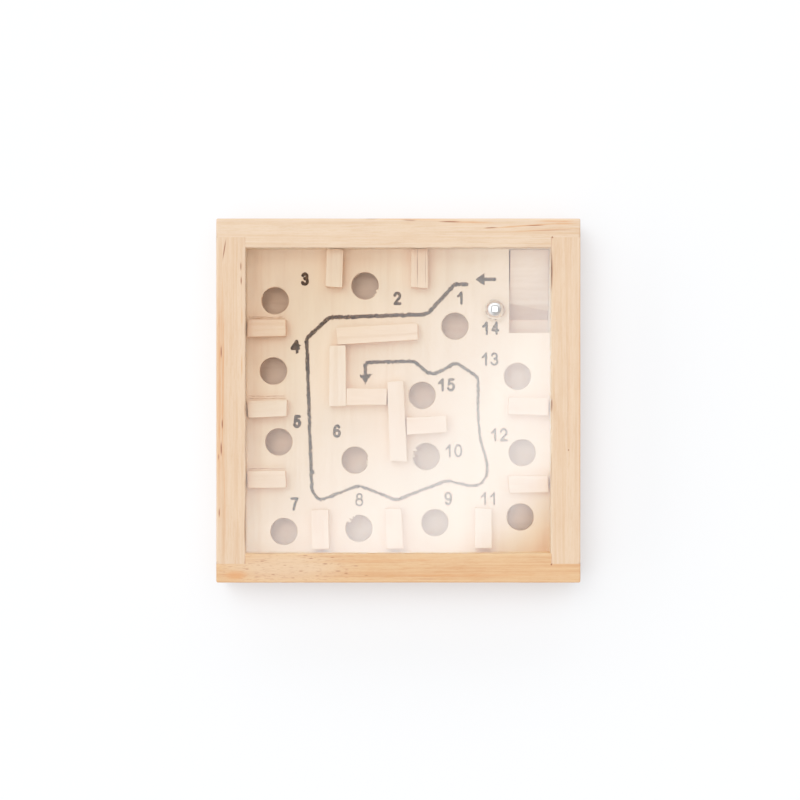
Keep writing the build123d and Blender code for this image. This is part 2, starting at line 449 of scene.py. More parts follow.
front_pine = wood(
    "front_rail_pine", rgb(213, 165, 124), rgb(187, 125, 77), (-20, 50, 2.2, 0.4),
    mottle=0.45, fibre=0.5, top=TOP, ends=HALF, inner=INNER,
    # gaps: painted shadow lines at the inner top edge
    gaps=[(0, -44.4, 44, 0.34, 0, 0.45), (-38, -44.4, 7, 0.4, 0, 0.7)],
    fair=[(-33, -48.5, 25, 6, 0, 0.55)],
    pits=[(-33, -48.5, 28, 8, 0, 1.0)],
    dark=[(-27.1, -45.1, 1.0, 0.2, 0, 0.8), (-25.4, -45.9, 0.9, 0.2, 0, 0.8),
          (-21.3, -47.5, 1.0, 0.22, 0, 0.8), (-17.5, -49.6, 1.1, 0.22, 0, 0.8),
          (-39.6, -46.7, 0.9, 0.2, 0, 0.7), (-28.3, -49.6, 0.9, 0.2, 0, 0.7),
          (-15.2, -50.3, 0.8, 0.2, 0, 0.7), (-12.3, -48.1, 0.9, 0.2, 0, 0.7),
          (-33.0, -47.9, 0.7, 0.16, 0, 0.6), (-23.6, -51.0, 0.7, 0.16, 0, 0.6),
          (-44.0, -49.0, 0.8, 0.2, 0, 0.7), (-41.2, -51.3, 0.9, 0.18, 0, 0.6),
          (-36.4, -50.6, 0.8, 0.18, 0, 0.7), (-30.6, -51.6, 0.7, 0.16, 0, 0.6),
          (-19.2, -45.6, 0.7, 0.18, 0, 0.7), (-9.3, -50.9, 0.8, 0.16, 0, 0.6),
          # the round dot at the inner corner is painted shade in the small gap of the joint
          (8.5, -51.9, 3.8, 0.16, 0, 0.5), (44.5, -47.7, 0.35, 0.35, 0, 1.0)],
    warm=[(-47.2, -50.8, 4.2, 1.9, 0, 0.8), (20, -50.8, 32, 0.6, 0, 0.35),
          (-5, -46.6, 30, 0.5, 1, 0.3)])

for node, pine in zip(RAILS, (back_pine, front_pine, left_pine, right_pine)):
    build_rail(node, pine)

# ---------------- maze floor

HOLE_RADIUS = 4.0
RIM_EASE = 0.16
RIM_POINTS = 180
DRILL_ROUGH, DRILL_WANDER = 0.05, 0.03  # how ragged and how far out of round a hole is
BURR_DEPTH = 0.7  # how far down a hole's wall its torn fibres reach
BURRS = {
    # torn fibres left standing at a hole's rim:
    # (direction in degrees, how far they stand in in mm, half width in degrees)
    "hole_2": [(-22, 0.65, 8), (-38, 0.35, 6)],
    "hole_6": [(8, 0.5, 7), (-4, 0.95, 7), (-17, 0.6, 6)],
    "hole_8": [(142, 1.15, 8), (124, 0.9, 7), (110, 0.5, 6)],
    "hole_10": [(148, 0.95, 8), (165, 0.5, 6), (178, 0.8, 7)],
    "hole_3": [(160, 0.25, 7)], "hole_15": [(-140, 0.25, 8)],
}


def loop_faces(bm, lower, upper):
    n = len(lower)
    for i in range(n):
        j = (i + 1) % n
        bm.faces.new((lower[i], lower[j], upper[j], upper[i]))


def ring_of(bm, points, z):
    return [bm.verts.new((x * MM, y * MM, z * MM)) for x, y in points]


def subdivided(points, step):
    out = []
    for (x0, y0), (x1, y1) in zip(points, points[1:] + points[:1]):
        n = max(1, round(math.hypot(x1 - x0, y1 - y0) / step))
        out += [(x0 + (x1 - x0) * i / n, y0 + (y1 - y0) * i / n) for i in range(n)]
    return out


def plate_with_holes(bm, outline, holes, low, high):
    """A plate between two heights. Each hole is its loops of points from the top down: the
    upper rim, the torn top of its wall, the clean wall and the lower rim."""
    loops = {}
    for key, z, rim in (("high", high, 0), ("low", low, 3)):
        outer = ring_of(bm, outline, z)
        rims = [ring_of(bm, hole[rim], z) for hole in holes]
        loops[key] = (outer, rims)
        polygon = [[v.co for v in loop] for loop in [outer] + rims]
        flat = outer + [v for loop in rims for v in loop]
        for tri in tessellate_polygon(polygon):
            bm.faces.new([flat[i] for i in tri])
    loop_faces(bm, loops["low"][0], loops["high"][0])
    for k, (_, torn, wall, _) in enumerate(holes):
        rings = [loops["high"][1][k], ring_of(bm, torn, high - RIM_EASE),
                 ring_of(bm, wall, high - BURR_DEPTH), ring_of(bm, wall, low + RIM_EASE),
                 loops["low"][1][k]]
        for upper, lower in zip(rings, rings[1:]):
            loop_faces(bm, lower, upper)


def hole_loops(name, x, y):
    seed = sum(map(ord, name))
    loops = [[], [], [], []]
    for i in range(RIM_POINTS):
        angle = 2 * math.pi * i / RIM_POINTS
        c, s = math.cos(angle), math.sin(angle)
        spot = (c * HOLE_RADIUS, s * HOLE_RADIUS, 0)
        rough = DRILL_ROUGH * wobble(spot, 0.9, seed) + DRILL_WANDER * wobble(spot, 3.0, seed + 4)
        burr = 0.0
        for direction, depth, spread in BURRS.get(name, ()):
            off = (math.degrees(angle) - direction + 180) % 360 - 180
            burr = max(burr, depth * max(0.0, 1 - abs(off / spread) ** 1.5))
        rim, wall = HOLE_RADIUS + RIM_EASE + rough, HOLE_RADIUS + 0.4 * rough
        for loop, radius in zip(loops, (rim - burr, wall - 0.9 * burr, wall, rim)):
            loop.append((x + radius * c, y + radius * s))
    return loops


holes = {}
for opening in frame["record"]["physics"]["openings"]:
    if opening["name"].startswith("hole_"):
        low_corner, high_corner = opening["box_m"]
        holes[opening["name"]] = ((low_corner[0] + high_corner[0]) / 2 / MM,
                                  (low_corner[1] + high_corner[1]) / 2 / MM)

floor_low, floor_high = (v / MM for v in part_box("maze_floor"))
ramp_low, ramp_high = (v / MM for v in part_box("return_ramp"))
RAMP_SIDE_GAP = 0.5
SHEET = floor_high.x  # half the side of the floor sheet
opening_left = ramp_low.x - RAMP_SIDE_GAP
opening_front = 19.9  # the front edge of the floor's return opening
SAW_WANDER = 0.05

outline = [(-SHEET, -SHEET), (SHEET, -SHEET), (SHEET, opening_front),
           (opening_left, opening_front), (opening_left, SHEET), (-SHEET, SHEET)]
edge = []
for x, y in subdivided(outline, 1.5):
    if abs(x - opening_left) < NEAR:
        x += SAW_WANDER * wobble((x, y, 0), 3.0, 21)
    if abs(y - opening_front) < NEAR:
        y += SAW_WANDER * wobble((x, y, 0), 3.0, 22)
    edge.append((x, y))

floor_wood = wood(
    "birch_ply", rgb(233, 202, 173), rgb(213, 169, 134), (140, 40, 5.5, 0.22), fibre=0.15,
    mottle=0.35, flecks=0.12, ply=(floor_low.z + 0.9, floor_high.z - 0.9, rgb(160, 118, 84)),
    # edge=INNER paints the left and back rims paler: painted light against the walls' shade
    # the warm patch at the front right corner is painted shade
    edge=INNER, top=floor_high.z, warm=[(-47, 47, 17, 14, 0, 0.26)])
bm = bmesh.new()
plate_with_holes(bm, edge, [hole_loops(n, *xy) for n, xy in sorted(holes.items())],
                 floor_low.z, floor_high.z)
finish_piece(bm, "maze_floor_ply", floor_wood, "maze_floor",
             grain=((0, 0, 0), (0, 1, 0), (1, 0, 0)), smooth=30)

# ---------------- base panel

base_wood = wood(
    "base_birch_ply", rgb(238, 200, 169), rgb(218, 172, 138), (60, 90, 6.0, 0.25),
    fibre=0.3, mottle=0.3, flecks=0.2, ply=(0.9, 2.1, rgb(150, 108, 76)))
base_low, base_high = (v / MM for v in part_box("base_panel"))
bm = bmesh.new()
side_points = subdivided([(base_low.x, base_low.y), (base_high.x, base_low.y),
                          (base_high.x, base_high.y), (base_low.x, base_high.y)], 3.0)
BASE_EASE = 0.3
shrink = 1 - BASE_EASE / base_high.x
rows = [ring_of(bm, [(x * k, y * k) for x, y in side_points], z)
        for k, z in ((shrink, base_low.z), (1, base_low.z + BASE_EASE),
                     (1, base_high.z - BASE_EASE), (shrink, base_high.z))]
for lower, upper in zip(rows, rows[1:]):
    loop_faces(bm, lower, upper)
bm.faces.new(rows[0])
bm.faces.new(rows[-1])
finish_piece(bm, "base_panel_ply", base_wood, "base_panel",
             grain=((0, 0, 0), (1, 0, 0), (0, 1, 0)))

# ---------------- maze walls

WALL_MARKS = {
    # a dark line of late wood runs the length of this strip
    "back_right_wall": [(0, 0.65, 8.0, 0.17, 0, 0.95), (0, -1.7, 8.0, 0.18, 0, 0.6)],
}
WALL_TONES = {
    "pale": (rgb(237, 204, 176), rgb(216, 172, 138)),
    "pink": (rgb(235, 197, 167), rgb(212, 164, 128)),
}
SAW_ERROR = 0.16  # how far a strip's ends and sides are out, in mm
STRIP_EASE = 0.16
STRIP_TOP = PLAY + 5.0  # above this a strip's top face is uneven
STRIP_MARK_TOP = 3.0  # its top face, up from its own centre
STRIP_TONES = ("pale", "pink", "pink")
STRIP_DIP, SIDE_WANDER = 0.07, 0.04  # how uneven its top and sides are
STRIP_STEP = 1.4


def build_wall(node, seed):
    bm = from_node(node)
    co = [v.co.copy() for v in bm.verts]
    longest = max((e for e in bm.edges if abs(e.verts[0].co.z - e.verts[1].co.z) < 0.1 * MM),
                  key=lambda e: e.calc_length())
    along = (longest.verts[1].co - longest.verts[0].co).normalized()
    if abs(along.x) > abs(along.y) and along.x < 0 or abs(along.y) >= abs(along.x) and along.y < 0:
        along = -along
    across = Vector((-along.y, along.x, 0))
    centre = sum(co, Vector()) / len(co)
    # each strip is sawn by hand: its ends are a little off square, its width a little uneven
    rng = np.random.default_rng(100 + seed)
    skew_low, skew_high, taper = rng.uniform(-SAW_ERROR, SAW_ERROR, 3)
    for v in bm.verts:
        local = v.co - centre
        a, c = local.dot(along) / MM, local.dot(across) / MM
        skew = skew_high if a > 0 else skew_low
        sign = np.sign(c)
        v.co += along * (skew * sign * MM) + across * (-abs(taper) * (a > 0) * sign * MM)
    ease_edges(bm, lambda a, b: True, STRIP_EASE)
    axis = 0 if abs(along.x) > abs(along.y) else 1
    low, high = (c[axis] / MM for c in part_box(node))
    cut(bm, axis, np.arange(low + 0.8, high - 0.4, STRIP_STEP))
    middle = centre[1 - axis] / MM
    cut(bm, 1 - axis, (middle - 1.2, middle, middle + 1.2))
    for v in bm.verts:
        x, y, z = v.co / MM
        if z > STRIP_TOP:
            v.co.z -= STRIP_DIP * MM * max(0.0, wobble((x, y, z), 4.0, 40 + seed))
        v.co += across * (SIDE_WANDER * MM * wobble((x, y, z), 3.2, 60 + seed))
    tone = WALL_TONES[STRIP_TONES[seed % 3]]
    offset = rng.uniform(-40, 40, 3)
    marks = WALL_MARKS.get(node, ())
    if marks:
        offset = np.zeros(3)
    rings = (offset[1] + 9 + seed % 5, offset[2] + 14, 2.4, 0.3)
    material = wood(f"strip_wood_{seed}", *tone, rings,
                    fibre=0.34, mottle=0.4, dark=marks, top=STRIP_MARK_TOP)
    local_origin = offset - np.array([centre.dot(along), centre.dot(across), centre.z]) / MM
    finish_piece(bm, node + "_strip", material, node,
                 grain=(local_origin, along, across),
                 wear=lambda co: strip_wear(co, centre, across))


def strip_wear(co, centre, across):
    """The long upper edges of a strip are a little rubbed."""
    c = np.abs((co - np.array(centre) / MM) @ np.array(across))
    top = co[:, 2] > PLAY + 5.7
    return np.clip((c - 2.2) / 0.25, 0, 1) * top


for number, node in enumerate(sorted(n for n in frame["nodes"] if n.endswith("_wall"))):
    build_wall(node, number)

# ---------------- return ramp

ramp_wood = wood(
    "ramp_wood", rgb(229, 200, 177), rgb(194, 157, 130), (30, 60, 1.5, 0.2), fibre=0.24,
    # the band from 1.0 to 7.1 mm up is painted shade on the steep tip, not a ply
    mottle=0.3, flecks=0.3, ply=(1.0, 7.1, rgb(208, 174, 149)))
BREAK_Y = (28.9, 26.6)  # where the steep tip starts, at the left and the right
BREAK_MEAN, BREAK_Z = 28.3, 7.0
RAMP_COLUMNS = 14
RAMP_GROWN = 0.38  # how far it reaches beyond its CAD solid's sides and back
RAMP_GAP, GAP_FROM, GAP_FADE = 0.3, 32, 3  # the open joint at its left side, near the back
RAMP_FOOT, RAMP_DIP = 0.15, 0.07  # the height of its front edge, how uneven its top is


def build_ramp():
    bm = bmesh.new()
    rows = []
    x0, x1 = ramp_low.x - RAMP_GROWN, ramp_high.x + RAMP_GROWN
    foot, back, low, high = ramp_low.y, ramp_high.y + RAMP_GROWN, ramp_low.z, ramp_high.z
    for i in range(RAMP_COLUMNS + 1):
        share = i / RAMP_COLUMNS
        x = x0 + (x1 - x0) * share
        turn = BREAK_Y[0] + (BREAK_Y[1] - BREAK_Y[0]) * share
        turn_z = high - (high - BREAK_Z) * (back - turn) / (back - BREAK_MEAN)
        tip = low + RAMP_FOOT
        profile = [(foot, low), (foot, tip)]
        profile += [(foot + (turn - foot) * t, tip + (turn_z - tip) * t)
                    for t in (0.33, 0.66, 0.97)]
        profile += [(turn + (back - turn) * t, turn_z + (high - turn_z) * t)
                    for t in (0.01, 0.15, 0.3, 0.45, 0.6, 0.75, 0.9, 1.0)]
        profile += [(back, low)]
        row = []
        for y, z in profile:
            inside = low + 0.3 < z and y < back - 0.1
            dip = RAMP_DIP * max(0, wobble((x * 0.4, y * 2.2, z), 2.0, 31)) if inside else 0
            gap = RAMP_GAP * min(1.0, max(0.0, (y - GAP_FROM) / GAP_FADE)) if i == 0 else 0
            row.append(bm.verts.new(((x + gap) * MM, y * MM, (z - dip) * MM)))
        rows.append(row)
    for a, b in zip(rows, rows[1:]):
        loop = len(a)
        for j in range(loop):
            k = (j + 1) % loop
            bm.faces.new((a[j], b[j], b[k], a[k]))
    bm.faces.new(rows[0])
    bm.faces.new(rows[-1])
    finish_piece(bm, "return_ramp_wedge", ramp_wood, "return_ramp",
                 grain=((3, 7, 0), (1, 0, 0), (0, 1, 0)), smooth=12)


build_ramp()

# ---------------- clear cover

MIRRORED, MIRRORED_MORE = 0.045, 0.88  # straight on, and added at grazing angles


def clear_sheet():
    """A thin clear sheet: it passes light straight through and mirrors a little of it."""
    g = Material("clear_sheet")
    p = g.add("TexCoord").outputs["Object"]
    smear = g.noise(g.scaled(p, (60, 60, 60)), detail=2.0)
    scratch = g.noise(g.scaled(p, (220, 5200, 900)), detail=2.0, roughness=0.7)
    facing = g.add("LayerWeight", {"Blend": 0.5}).outputs["Facing"]
    grazing = g.math("POWER", facing, 4.0)
    share = g.math("MULTIPLY_ADD", grazing, MIRRORED_MORE, MIRRORED)
    g.set(Base_Color=(1, 1, 1, 1), Metallic=1.0,
          Roughness=g.ease(smear, 0.35, 0.75, 0.03, 0.06),
          Normal=g.bump(scratch, 0.0004 * MM, 0.1))
    clear = g.add("BsdfTransparent", {0: (0.988, 0.992, 0.99, 1)})
    both = g.add("MixShader", {0: share, 1: clear.outputs[0], 2: g.shader.outputs[0]})
    g.put(g.output.inputs[0], both.outputs[0])
    return g.material


bm = from_node("clear_cover")
ease_edges(bm, lambda a, b: True, 0.2)
finish_piece(bm, "clear_cover_sheet", clear_sheet(), "clear_cover")

# ---------------- steel ball


def polished_steel():
    g = Material("polished_steel")
    p = g.add("TexCoord").outputs["Object"]
    smudge = g.noise(g.scaled(p, (700, 700, 700)), detail=3.0)
    scratch = g.noise(g.scaled(p, (900, 9000, 2500)), detail=2.0, roughness=0.7)
    tone = g.mix(g.ease(smudge, 0.4, 0.7, 0.0, 0.6), rgb(240, 240, 241), rgb(222, 221, 219))
    return g.set(Base_Color=tone, Metallic=1.0,
                 Roughness=g.ease(smudge, 0.3, 0.75, 0.05, 0.14),
                 Normal=g.bump(scratch, 0.004 * MM, 0.2))


def build_ball():
    low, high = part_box("steel_ball")
    centre, radius = (low + high) / 2, (high.z - low.z) / 2
    bm = bmesh.new()
    bmesh.ops.create_cube(bm, size=2.0)
    bmesh.ops.subdivide_edges(bm, edges=bm.edges[:], cuts=23, use_grid_fill=True)
    for v in bm.verts:
        v.co = centre + v.co.normalized() * radius
    finish_piece(bm, "steel_ball_bearing", polished_steel(), "steel_ball",
                 body="ball", smooth=60)


build_ball()

# ---------------- printing on the floor

GRID = 0.11  # the spacing of the samples that shape ink
INK_RISE = 0.035  # how far the ink stands above the floor
INK_SINK = 0.03
FAR_FROM_INK = 3.0
SMALLEST = 0.02  # the smallest patch of ink or gap kept, in mm2


def printed_ink():
    g = Material("printing_ink")
    p = g.add("TexCoord").outputs["Object"]
    patch = g.noise(g.scaled(p, (1800, 1800, 1800)), detail=3.0)
    grain = g.noise(g.scaled(p, (6000, 900, 3000)), detail=2.0)
    share = g.plus(g.ease(patch, 0.40, 0.70, 0.0, 0.6), g.ease(grain, 0.5, 0.8, 0.0, 0.35))
    colour = g.mix(share, rgb(54, 37, 26), rgb(122, 92, 66))
    x, y, _ = g.split(p)
    # painted reflection: the ink turns paler towards the front right, where the cover mirrors the
    # strip light
    painted_glare = g.ease(g.minus(x, y), -4 * MM, 34 * MM, 0.0, 0.16)
    colour = g.mix(painted_glare, colour, rgb(190, 162, 135))
    return g.set(Base_Color=colour, Roughness=g.ease(grain, 0.3, 0.8, 0.6, 0.8),
                 Normal=g.bump(grain, 0.02 * MM, 0.5), Specular_IOR_Level=0.15)


ink = printed_ink()


def grid_noise(shape, cell, rng):
    """Smooth noise from -1 to 1 over a grid, with features about cell samples wide."""
    coarse = rng.uniform(-1, 1, (int(shape[0] / cell) + 3, int(shape[1] / cell) + 3))
    y, x = np.arange(shape[0]) / cell, np.arange(shape[1]) / cell
    yi, xi = y.astype(int), x.astype(int)
    fy, fx = (y - yi)[:, None], (x - xi)[None, :]
    fy, fx = fy * fy * (3 - 2 * fy), fx * fx * (3 - 2 * fx)
    a, b = coarse[yi][:, xi], coarse[yi][:, xi + 1]
    c, d = coarse[yi + 1][:, xi], coarse[yi + 1][:, xi + 1]
    return (a * (1 - fx) + b * fx) * (1 - fy) + (c * (1 - fx) + d * fx) * fy


class Print:
    """Ink laid on the floor: strokes and filled shapes, joined and given ragged edges."""

    def __init__(self, low, high, seed):
        self.x = np.arange(low[0], high[0], GRID)
        self.y = np.arange(low[1], high[1], GRID)
        self.low = low
        self.field = np.full((len(self.y), len(self.x)), FAR_FROM_INK)
        self.rng = np.random.default_rng(seed)

    def window(self, points, margin):
        (xa, ya), (xb, yb) = np.min(points, 0) - margin, np.max(points, 0) + margin
        i = np.searchsorted(self.y, (ya, yb))
        j = np.searchsorted(self.x, (xa, xb))
        xs, ys = np.meshgrid(self.x[j[0]:j[1]], self.y[i[0]:i[1]])
        return (slice(i[0], i[1]), slice(j[0], j[1])), xs, ys

    def stroke(self, points, width):
        widths = np.broadcast_to(np.asarray(width, float), len(points))
        for p, q, wp, wq in zip(points, points[1:], widths, widths[1:]):
            area, xs, ys = self.window([p, q], 2.0)
            dx, dy = q[0] - p[0], q[1] - p[1]
            t = ((xs - p[0]) * dx + (ys - p[1]) * dy) / max(dx * dx + dy * dy, 1e-9)
            t = np.clip(t, 0, 1)
            gap = np.hypot(xs - p[0] - t * dx, ys - p[1] - t * dy) - (wp + (wq - wp) * t) / 2
            self.field[area] = np.minimum(self.field[area], gap)

    def fill(self, points, round_by=0.1):
        """A filled convex shape whose points go round anticlockwise."""
        area, xs, ys = self.window(points, 1.5)
        gap = np.full(xs.shape, -np.inf)
        for (x0, y0), (x1, y1) in zip(points, points[1:] + points[:1]):
            size = math.hypot(x1 - x0, y1 - y0)
            gap = np.maximum(gap, ((xs - x0) * (y1 - y0) - (ys - y0) * (x1 - x0)) / size)
        self.field[area] = np.minimum(self.field[area], gap - round_by)

    def roughen(self, amount):
        shape = self.field.shape
        rough = grid_noise(shape, 1.9, self.rng) + 0.15 * grid_noise(shape, 5.0, self.rng)
        self.field = self.field + amount * rough

    def outlines(self):
        """Closed outlines of the inked area, with the ink on the left of each."""
        f = self.field
        inside = f < 0
        code = (inside[:-1, :-1] * 1 + inside[:-1, 1:] * 2
                + inside[1:, 1:] * 4 + inside[1:, :-1] * 8)
        turns = {1: "03", 2: "10", 3: "13", 4: "21", 5: "0321", 6: "20", 7: "23",
                 8: "32", 9: "02", 10: "1032", 11: "12", 12: "31", 13: "01", 14: "30"}
        after, place = {}, {}
        for i, j in np.argwhere((code > 0) & (code < 15)):
            sides = ((0, i, j), (1, i, j + 1), (0, i + 1, j), (1, i, j))
            steps = turns[int(code[i, j])]
            for start, end in zip(steps[::2], steps[1::2]):
                after[sides[int(start)]] = sides[int(end)]
        for upright, i, j in after:
            a, b = f[i, j], f[i + upright, j + 1 - upright]
            t = a / (a - b)
            place[(upright, i, j)] = (self.low[0] + (j + t * (1 - upright)) * GRID,
                                      self.low[1] + (i + t * upright) * GRID)
        loops = []
        while after:
            key, nxt = after.popitem()
            loop = [place[key]]
            while nxt in after:
                loop.append(place[nxt])
                nxt = after.pop(nxt)
            loops.append(loop)
        return loops

    def build(self, name, material):
        loops = [(signed_area(loop), loop) for loop in self.outlines()]
        solids = [loop for area, loop in loops if area > SMALLEST]
        gaps = [loop for area, loop in loops if area < -SMALLEST]
        bm = bmesh.new()
        for outer in solids:
            mine = [gap for gap in gaps if contains(outer, gap[0])]
            rows = [[ring_of(bm, loop, z) for loop in [outer] + mine]
                    for z in (PLAY - INK_SINK, PLAY + INK_RISE)]
            for lower, upper in zip(*rows):
                loop_faces(bm, lower, upper)
            triangles = tessellate_polygon([[v.co for v in loop] for loop in rows[1]])
            for row in rows:
                flat = [v for loop in row for v in loop]
                for tri in triangles:
                    bm.faces.new([flat[i] for i in tri])
        finish_piece(bm, name, material, smooth=30)


def signed_area(loop):
    pts = np.array(loop)
    nxt = np.roll(pts, -1, 0)
    return float(np.sum(pts[:, 0] * nxt[:, 1] - nxt[:, 0] * pts[:, 1]) / 2)


def contains(loop, point):
    pts = np.array(loop)
    nxt = np.roll(pts, -1, 0)
    x, y = point
    crosses = (pts[:, 1] > y) != (nxt[:, 1] > y)
    with np.errstate(divide="ignore", invalid="ignore"):
        at = pts[:, 0] + (y - pts[:, 1]) * (nxt[:, 0] - pts[:, 0]) / (nxt[:, 1] - pts[:, 1])
    return bool(np.count_nonzero(crosses & (at > x)) % 2)


def rounded(points, radius):
    """The same path with each corner cut back by about this radius."""
    out = [points[0]]
    for before, corner, after in zip(points, points[1:], points[2:]):
        for other in (before, after):
            reach = math.dist(corner, other)
            share = min(radius / reach, 0.45)
            out.append((corner[0] + (other[0] - corner[0]) * share,
                        corner[1] + (other[1] - corner[1]) * share))
    return out + [points[-1]]


def arc(cx, cy, rx, ry, start, end, steps=18):
    angles = np.radians(np.linspace(start, end, steps + 1))
    return [(cx + rx * math.cos(a), cy + ry * math.sin(a)) for a in angles]


# each digit's strokes, in a box one wide and one high
DIGITS = {
    "0": [arc(0.5, 0.5, 0.5, 0.5, 0, 360)],
    "1": [[(0.05, 0.66), (0.36, 0.80), (0.60, 1.0)], [(0.60, 1.0), (0.62, 0.0)]],
    "2": [arc(0.5, 0.71, 0.46, 0.29, 168, -28) + [(0.55, 0.36), (0.04, 0.0)],
          [(0.04, 0.0), (1.0, 0.0)]],
    "3": [arc(0.47, 0.76, 0.42, 0.24, 160, -90), arc(0.47, 0.27, 0.5, 0.27, 90, -160)],
    "4": [[(0.72, 0.0), (0.72, 1.0)], [(0.72, 1.0), (0.02, 0.32)], [(0.02, 0.32), (1.0, 0.32)]],
    "5": [[(0.92, 1.0), (0.24, 1.0)], [(0.24, 1.0), (0.12, 0.52)],
          arc(0.47, 0.32, 0.5, 0.32, 135, -160)],
    "6": [arc(0.54, 0.5, 0.5, 0.5, 45, 190), arc(0.5, 0.29, 0.47, 0.29, 0, 360)],
    "7": [[(0.02, 1.0), (1.0, 1.0)], [(1.0, 1.0), (0.55, 0.5), (0.36, 0.0)]],
    "8": [arc(0.5, 0.77, 0.38, 0.23, 0, 360), arc(0.5, 0.28, 0.5, 0.28, 0, 360)],
    "9": [arc(0.5, 0.71, 0.47, 0.29, 0, 360), arc(0.46, 0.5, 0.5, 0.5, -135, 10)],
}
DIGIT_HEIGHT, DIGIT_WIDTH, DIGIT_PITCH = 4.0, 2.5, 2.7
NUMERALS = [
    # text, centre x, centre y, stroke width, raggedness
    ("1", 18.4, 30.2, 0.76, 0.07), ("2", -0.3, 30.1, 0.86, 0.08),
    ("3", -27.5, 35.8, 0.98, 0.09), ("4", -30.2, 15.9, 0.80, 0.15),
    ("5", -29.8, -6.2, 0.98, 0.09), ("6", -18.1, -9.0, 0.82, 0.08),
    ("7", -30.6, -30.5, 0.78, 0.08), ("8", -11.5, -29.2, 0.56, 0.09),
    ("9", 14.7, -28.9, 0.72, 0.07), ("10", 16.3, -14.8, 0.64, 0.07),
    ("11", 26.7, -28.9, 0.62, 0.06), ("12", 29.7, -10.1, 0.68, 0.06),
    ("13", 27.0, 12.2, 0.70, 0.07), ("14", 27.2, 21.3, 0.76, 0.09),
    ("15", 14.2, 4.6, 0.80, 0.08),
]
# where the stamp slipped, the 4 is closed up with ink
BLOT = [(-1.35, -1.0), (0.85, -0.95), (1.0, 0.35), (0.1, 1.9), (-0.5, 1.2), (-1.45, -0.3)]

for number, (text, cx, cy, width, ragged) in enumerate(NUMERALS):
    reach = DIGIT_PITCH * (len(text) - 1) / 2
    sheet = Print((cx - reach - 2.6, cy - 3.2), (cx + reach + 2.6, cy + 3.2), 300 + number)
    for place, digit in enumerate(text):
        left = cx - reach + DIGIT_PITCH * place - (DIGIT_WIDTH - width) / 2
        foot = cy - (DIGIT_HEIGHT - width) / 2
        for line in DIGITS[digit]:
            sheet.stroke([(left + u * (DIGIT_WIDTH - width), foot + v * (DIGIT_HEIGHT - width))
                          for u, v in line], width)
    if text == "4":
        sheet.fill([(cx + u, cy + v) for u, v in BLOT])
        sheet.stroke([(cx + 0.4, cy + 0.3), (cx + 1.5, cy + 0.35)], (0.9, 0.4))
        sheet.stroke([(cx + 0.2, cy - 0.6), (cx + 0.15, cy - 2.2)], (0.7, 0.35))
    sheet.roughen(ragged)
    sheet.build("numeral_" + text, ink)

ROUTE = [
    (20.1, 34.2), (16.6, 34.3), (8.6, 25.4), (-20.5, 24.4), (-27.0, 18.3), (-25.5, -26.5),
    (-23.7, -29.1), (-22.3, -29.2), (-11.7, -25.0), (-0.6, -29.4), (14.1, -23.6),
    (21.6, -25.2), (24.1, -24.8), (25.8, -22.8), (26.3, -19.6), (25.8, -16.8), (24.1, -11.3),
    (23.5, -4.4), (23.5, 6.8), (17.1, 11.2), (11.3, 8.0), (9.0, 7.9), (4.5, 11.6),
    (-9.7, 11.2), (-9.7, 6.5),
]
# where the ink is thin: x, y, how much of the line's width is lost
BREAKS = [(17.3, -23.7, 0.35), (25.2, -21.8, 0.3), (-18.0, -27.6, 0.3), (-24.6, -28.2, 0.25)]
BREAK_SPREAD = 0.12
ROUTE_WIDTH, ROUTE_WIDER, ROUTE_THINNER = 0.98, 0.20, 0.12  # wider at the back, thin at the right
ROUTE_RAGGED = 0.34


def build_route():
    path = rounded(ROUTE, 0.7)
    widths = [ROUTE_WIDTH + ROUTE_WIDER * min(1, max(0, y / 24))
              - ROUTE_THINNER * (x > 14 and y < 10) for x, y in path]
    sheet = Print((-29.5, -31.8), (29.0, 36.8), 401)
    sheet.stroke(path, widths)
    sheet.stroke([(-25.4, -20.6), (-24.9, -21.2)], 0.7)
    sheet.fill([(-11.3, 7.6), (-9.7, 5.0), (-8.1, 7.6)])
    for x, y, depth in BREAKS:
        area, xs, ys = sheet.window([(x, y), (x, y)], 1.0)
        off = (xs - x) ** 2 + (ys - y) ** 2
        sheet.field[area] += depth * np.exp(-off / BREAK_SPREAD)
    sheet.roughen(ROUTE_RAGGED)
    sheet.build("printed_route", ink)


def build_arrow():
    sheet = Print((20.5, 32.5), (30.5, 39.0), 402)
    sheet.stroke([(28.4, 35.7), (25.0, 35.7)], 1.05)
    sheet.fill([(22.8, 35.7), (25.3, 34.0), (25.3, 37.4)])
    sheet.roughen(0.10)
    sheet.build("start_arrow", ink)


build_route()
build_arrow()

# ---------------- glue and painted shade at the walls


# dark lines behind the left walls: partly dried glue, partly painted shade beside the walls
def dried_glue():
    g = Material("dried_glue")
    p = g.add("TexCoord").outputs["Object"]
    patch = g.noise(g.scaled(p, (1200, 1200, 1200)), detail=2.0)
    colour = g.mix(g.ease(patch, 0.35, 0.7), rgb(168, 122, 84), rgb(208, 168, 128))
    return g.set(Base_Color=colour, Roughness=g.ease(patch, 0.3, 0.7, 0.3, 0.5),
                 Normal=g.bump(patch, 0.02 * MM, 0.4))


GLUE_AND_SHADE_LINES = {
    # wall: how far behind the wall each line of dried glue and painted shade lies, in mm
    "left_back_wall": (0.30, 0.75), "left_middle_wall": (0.35, 1.0), "left_front_wall": (0.4,),
}
GLUE_STEP, GLUE_WANDER, GLUE_WIDTH, GLUE_UNEVEN = 0.35, 0.16, 0.17, 0.07


